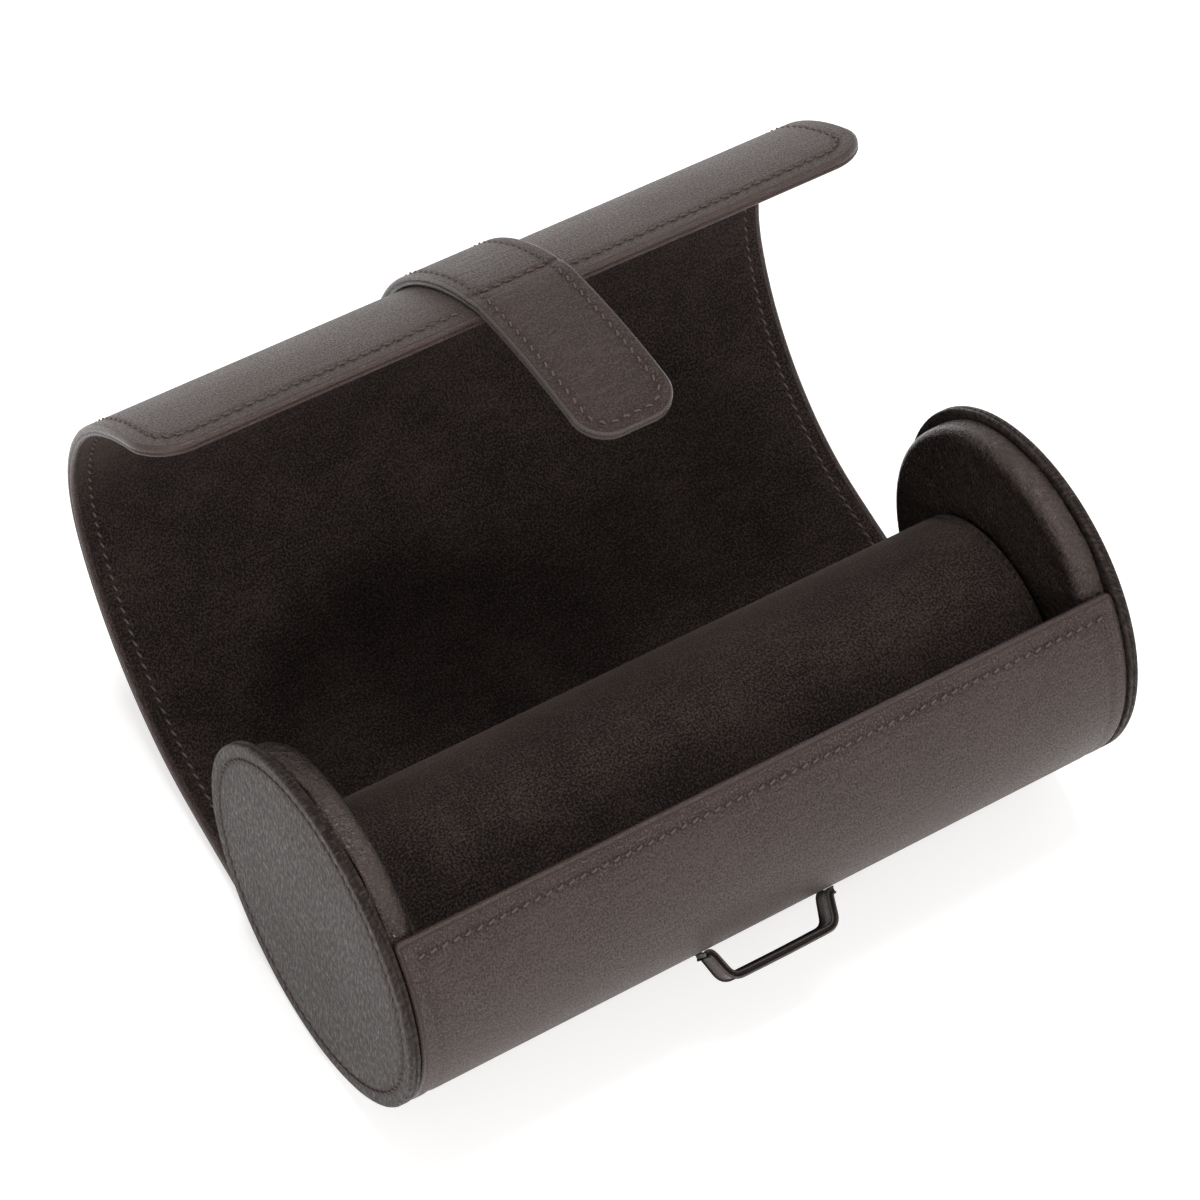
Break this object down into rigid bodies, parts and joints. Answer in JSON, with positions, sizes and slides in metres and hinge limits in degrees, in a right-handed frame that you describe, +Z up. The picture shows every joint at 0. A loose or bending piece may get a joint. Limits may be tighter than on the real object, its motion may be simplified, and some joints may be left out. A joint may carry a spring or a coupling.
{
  "type": "watch travel case",
  "caption": "Cylindrical leather travel case with a curling hinged lid, padded round ends, a suede cushion roll for watches and a strap whose tongue slides through a keeper loop.",
  "frame": {"origin": "on the resting plane, under the case axis, halfway along the case", "axes": "+X along the case to the right-hand end, +Y from the front lip towards the open lid, +Z up"},
  "size_m": [0.1906, 0.1675, 0.1248],
  "materials": {
    "shell_leather": "fine grained, semi-matt",
    "keeper_leather": "smooth, matt",
    "suede": "short nap",
    "board": "plain",
    "foam": "open cell"
  },
  "bodies": {
    "case": {"base_leather": "shell_leather", "base_board": "board", "base_lining": "suede", "keeper_loop": "keeper_leather", "end_cover_left": "shell_leather", "end_board_left": "board", "plug_cover_left": "shell_leather", "plug_core_left": "foam", "end_cover_right": "shell_leather", "end_board_right": "board", "plug_cover_right": "shell_leather", "plug_core_right": "foam", "lid_leather_1": "shell_leather", "lid_board_1": "board", "lid_lining_1": "suede"},
    "cushion": {"cushion_foam": "foam", "cushion_cover": "suede", "cushion_cap_left": "suede", "cushion_cap_right": "suede"},
    "lid_2": {"lid_leather_2": "shell_leather", "lid_board_2": "board", "lid_lining_2": "suede", "lid_leather_3": "shell_leather", "lid_board_3": "board", "lid_lining_3": "suede"},
    "lid_4": {"lid_leather_4": "shell_leather", "lid_board_4": "board", "lid_lining_4": "suede", "strap_back_4": "shell_leather", "strap_face_4": "shell_leather", "lid_leather_5": "shell_leather", "lid_board_5": "board", "lid_lining_5": "suede", "strap_back_5": "shell_leather", "strap_face_5": "shell_leather", "lid_leather_6": "shell_leather", "lid_board_6": "board", "lid_lining_6": "suede", "strap_back_6": "shell_leather", "strap_face_6": "shell_leather", "lid_leather_7": "shell_leather", "lid_board_7": "board", "lid_lining_7": "suede", "strap_back_7": "shell_leather", "strap_face_7": "shell_leather", "lid_leather_8": "shell_leather", "lid_board_8": "board", "lid_lining_8": "suede", "strap_back_8": "shell_leather", "strap_face_8": "shell_leather"},
    "lid_9": {"lid_leather_9": "shell_leather", "lid_board_9": "board", "lid_lining_9": "suede", "strap_back_9": "shell_leather", "strap_face_9": "shell_leather"},
    "tongue_root": {"tongue_back_root": "shell_leather", "tongue_face_root": "shell_leather"},
    "tongue_tip": {"tongue_back_tip": "shell_leather", "tongue_face_tip": "shell_leather"}
  },
  "joints": [
    {"name": "lid_close", "type": "hinge", "parent": "case", "child": "lid_2", "pos_m": [0, 0.01802, 0.00323], "axis": [1, 0, 0], "range_deg": [0, 41]},
    {"name": "lid_fold_4", "type": "hinge", "parent": "lid_2", "child": "lid_4", "pos_m": [0, 0.05589, 0.00708], "axis": [1, 0, 0], "range_deg": [0, 39.3]},
    {"name": "lid_fold_9", "type": "hinge", "parent": "lid_4", "child": "lid_9", "pos_m": [0, 0.10189, 0.0952], "axis": [1, 0, 0], "range_deg": [0, 39.6]},
    {"name": "tongue_bend", "type": "hinge", "parent": "lid_9", "child": "tongue_root", "pos_m": [0, 0.07952, 0.11591], "axis": [1, 0, 0], "range_deg": [-24.5, 0]},
    {"name": "tongue_tip_bend", "type": "hinge", "parent": "tongue_root", "child": "tongue_tip", "pos_m": [0, 0.05006, 0.12137], "axis": [1, 0, 0], "range_deg": [0, 12.2]},
    {"name": "cushion_turn", "type": "hinge", "parent": "case", "child": "cushion", "pos_m": [0, -0.00295, 0.03444], "axis": [1, 0, 0], "continuous": true}
  ],
  "couplings": [
    {"joint": "lid_fold_4", "follows": "lid_close", "ratio": 0.95853},
    {"joint": "lid_fold_9", "follows": "lid_close", "ratio": 0.96585},
    {"joint": "tongue_bend", "follows": "lid_close", "ratio": -0.59756},
    {"joint": "tongue_tip_bend", "follows": "lid_close", "ratio": 0.29756}
  ]
}
